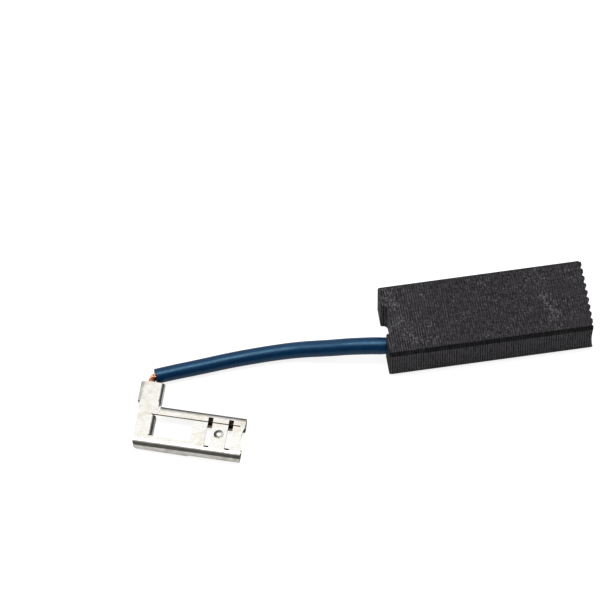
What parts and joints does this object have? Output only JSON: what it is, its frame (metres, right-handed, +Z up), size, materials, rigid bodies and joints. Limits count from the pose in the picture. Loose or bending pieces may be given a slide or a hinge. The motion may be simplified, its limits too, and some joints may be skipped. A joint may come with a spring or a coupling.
{
  "type": "carbon brush",
  "caption": "Carbon brush block with a serrated contact face and spring groove, on an insulated copper lead that ends in a folded flag receptacle.",
  "frame": {"origin": "middle of the carbon block's footprint, on the plane that the block rests on", "axes": "+X along the block towards the serrated contact face, +Y across the block's width, +Z up through its thickness"},
  "size_m": [0.073, 0.0245, 0.0063],
  "materials": {
    "carbon": "ground electrographite, dry and dark grey",
    "copper_powder": "rammed copper powder, dull",
    "copper": "fine stranded copper, bright",
    "blue_insulation": "smooth blue insulation, semi-gloss",
    "tinned_brass": "tinned brass sheet, bright with light handling marks"
  },
  "bodies": {
    "root": {"carbon_block": "carbon", "tamping_powder": "copper_powder", "conductor": "copper", "insulation_sleeve": "blue_insulation", "flag_receptacle": "tinned_brass"}
  },
  "joints": []
}
